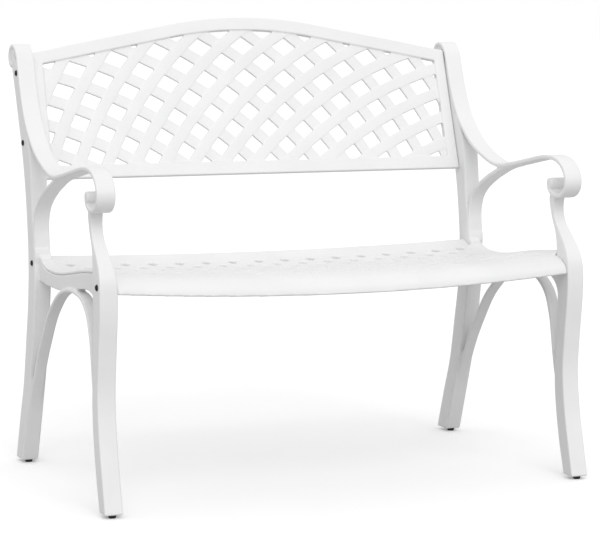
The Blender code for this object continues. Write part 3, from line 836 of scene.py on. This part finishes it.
def seat_lip():
    """The right end of the seat, which rises a little and lies over the rail of the side frame."""
    seat_line = smooth(SEAT_TOP)
    rail_line = smooth(RAIL_TOP)
    grid = []
    for step in range(LIP_STEPS + 1):
        y = LIP_REAR + (LIP_FRONT - LIP_REAR) * step / LIP_STEPS
        low = height_at(seat_line, y)
        high = height_at(rail_line, y)
        section = [
            (LIP_ROOT, low - LIP_SINK),
            ((LIP_ROOT + RAIL_INNER) / 2, (low + high) / 2),
            (RAIL_INNER, high),
            (LIP_OUTER - LIP_THICKNESS, high),
            (LIP_OUTER, high - LIP_SINK),
        ]
        grid.append([(x, y, z) for x, z in section])
    return sheet(grid, LIP_THICKNESS)


def seat_panel():
    lip = seat_lip()
    pieces = [seat_shell(), lip, mirrored(lip)]
    under = offset([Vector(knot) for knot in SEAT_TOP], SEAT_THICKNESS / 2)
    rib = under + smooth(SEAT_RIB_BOTTOM, SEAT_ROW_STEPS)
    outer = SEAT_HALF - SEAT_RIB_INSET
    inner = outer - SEAT_RIB
    for low, high in ((-outer, -inner), (inner, outer)):
        pieces.append(plate([rib], low, high, SIDE_VIEW))
    return melted("seat_panel_casting", pieces, SEAT_CELL, SEAT_PASSES, SEAT_TRIANGLES)


# ---- fasteners and feet ----------------------------------------------------------------------------------
def fastener_base(node, side):
    """The middle of a fastener's inner end, on its own axis."""
    low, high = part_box(node)
    middle = centre_of(node)
    return Vector((low.x if side > 0 else high.x, middle.y, middle.z))


def crisp(node, mesh, angle):
    """The turned piece with smooth faces, and with edges where they meet at more than the angle."""
    mesh.shade_smooth()
    mesh.set_sharp_from_angle(angle=angle)
    return shown(node + "_fine", mesh)


def bolt(node, side):
    """A button-head bolt with a hexagonal socket, from its tip to its head."""
    low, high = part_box(node)
    length = high.x - low.x
    seat = length - HEAD_HEIGHT
    rise = HEAD_HEIGHT - HEAD_LAND
    dome = []
    for angle in quarter_turn(HEAD_STEPS):
        radius = HEAD_RADIUS * (HEAD_FLAT + (1 - HEAD_FLAT) * math.cos(angle))
        dome.append((radius, seat + HEAD_LAND + rise * math.sin(angle)))
    shank = [(0, 0), (TIP_RADIUS, 0), (SHANK_RADIUS, TIP_HEIGHT), (SHANK_RADIUS, seat)]
    base = fastener_base(node, side)
    body = turned(shank + [(HEAD_RADIUS, seat)] + dome + [(0, length)], base, (side, 0, 0))
    floor = length - SOCKET_DEPTH
    above = length + CUT_SPARE
    socket = [(0, floor), (SOCKET_RADIUS, floor), (SOCKET_RADIUS, above), (0, above)]
    mesh = cut(body, turned(socket, base, (side, 0, 0), steps=SOCKET_SIDES))
    return crisp(node, mesh, FASTENER_SHARP)


def washer(node, side):
    """A flat ring with its outer face chamfered."""
    top = WASHER_THICKNESS
    chamfer = WASHER_CHAMFER
    ring = [
        (WASHER_BORE, 0),
        (WASHER_RADIUS, 0),
        (WASHER_RADIUS, top - chamfer),
        (WASHER_RADIUS - chamfer, top),
        (WASHER_BORE + chamfer, top),
        (WASHER_BORE, top - chamfer),
    ]
    mesh = turned(ring, fastener_base(node, side), (side, 0, 0), closed=True)
    return crisp(node, mesh, FASTENER_SHARP)


def glide(node):
    """A foot glide: a flat disc with a rounded sole and a slight flare up to the leg, and its stem."""
    low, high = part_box(node)
    middle = centre_of(node)
    flat = GLIDE_BOTTOM - GLIDE_ROUND
    sole = [
        (flat + GLIDE_ROUND * math.sin(angle), GLIDE_ROUND - GLIDE_ROUND * math.cos(angle))
        for angle in quarter_turn(GLIDE_STEPS)
    ]
    rim = FOOT_Z - GLIDE_GAP
    flare = [(GLIDE_TOP, rim - GLIDE_BAND), (GLIDE_TOP, rim)]
    stem = [(STEM_RADIUS, rim), (STEM_RADIUS, high.z), (0, high.z)]
    mesh = turned([(0, 0)] + sole + flare + stem, (middle.x, middle.y, low.z), (0, 0, 1))
    return crisp(node, mesh, GLIDE_SHARP)


# ---- studio ----------------------------------------------------------------------------------------------
def camera():
    data = bpy.data.cameras.new("camera")
    data.sensor_width = CAMERA_SENSOR
    data.lens = CAMERA_LENS
    data.shift_y = CAMERA_SHIFT
    data.clip_end = CAMERA_REACH
    body = shown("camera", data)
    body.location = CAMERA_PLACE
    body.rotation_euler = (math.radians(CAMERA_PITCH), 0.0, math.radians(CAMERA_YAW))
    bpy.context.scene.camera = body


def key_light():
    """An even light over the whole floor, with shadows as soft as its spread."""
    data = bpy.data.lights.new("key", "SUN")
    data.energy = KEY_STRENGTH
    data.angle = math.radians(KEY_SPREAD)
    body = shown("key", data)
    body.rotation_euler = Vector(KEY_DIRECTION).to_track_quat("-Z", "Y").to_euler()


def by_ray(tree, lighting, seen, output):
    """One shader for what lights the bench and another for what the camera sees."""
    mix = tree.nodes.new("ShaderNodeMixShader")
    tree.links.new(tree.nodes.new("ShaderNodeLightPath").outputs["Is Camera Ray"], mix.inputs["Fac"])
    tree.links.new(lighting.outputs[0], mix.inputs[1])
    tree.links.new(seen.outputs[0], mix.inputs[2])
    tree.links.new(mix.outputs[0], tree.nodes[output].inputs["Surface"])


def surroundings():
    """An even pale surround. What it shows to the camera is brighter than the light it gives."""
    world = bpy.data.worlds.new("surround")
    bpy.context.scene.world = world
    world.use_nodes = True
    lighting = world.node_tree.nodes["Background"]
    seen = world.node_tree.nodes.new("ShaderNodeBackground")
    for node, strength in ((lighting, SURROUND_LIGHT), (seen, SURROUND_SEEN)):
        node.inputs["Color"].default_value = (*WHITE, 1.0)
        node.inputs["Strength"].default_value = strength
    by_ray(world.node_tree, lighting, seen, "World Output")


def pale_floor():
    """A floor that looks almost white, but throws less light up under the bench than a white one would."""
    shape = bmesh.new()
    bmesh.ops.create_grid(shape, x_segments=FLOOR_CELLS, y_segments=FLOOR_CELLS, size=FLOOR_SIZE)
    floor = shown("floor", built("floor", shape))
    box = Paintbox("pale_floor", FLOOR_WHITE, roughness=0.85)
    tone = box.spread(box.noise(scale=3.0, detail=3.0), 0.3, 0.7)
    box.link(box.mix(tone, FLOOR_DARK, FLOOR_LIGHT), box.shader.inputs["Base Color"])
    box.shader.inputs["Emission Color"].default_value = (*WHITE, 1.0)
    box.shader.inputs["Emission Strength"].default_value = FLOOR_GLOW
    bounce = box.tree.nodes.new("ShaderNodeBsdfDiffuse")
    bounce.inputs["Color"].default_value = (*BOUNCE_GREY, 1.0)
    by_ray(box.tree, bounce, box.shader, "Material Output")
    floor.data.materials.append(box.material)


camera()
surroundings()
key_light()
pale_floor()
bpy.context.scene.view_settings.view_transform = "Standard"

FINISHES = {
    "white_powder_coat": powder_coat(),
    "black_steel": blackened_steel(),
    "black_plastic": moulded_plastic(),
}

right_frame = right_side_frame()
left_frame = shown("left_side_frame_casting", mirrored(right_frame.data))
place_piece(right_frame, "right_side_frame", "white_powder_coat")
place_piece(left_frame, "left_side_frame", "white_powder_coat")
place_piece(back_panel(), "back_panel", "white_powder_coat")
place_piece(seat_panel(), "seat_panel", "white_powder_coat")
for label, direction in (("left", -1), ("right", 1)):
    for spot in ("upper_back", "lower_back", "rear_seat", "front_seat"):
        bolt_node = f"bolt_{label}_{spot}"
        washer_node = f"washer_{label}_{spot}"
        place_piece(bolt(bolt_node, direction), bolt_node, "black_steel")
        place_piece(washer(washer_node, direction), washer_node, "black_steel")
    for end in ("front", "rear"):
        glide_node = f"glide_{label}_{end}"
        place_piece(glide(glide_node), glide_node, "black_plastic")
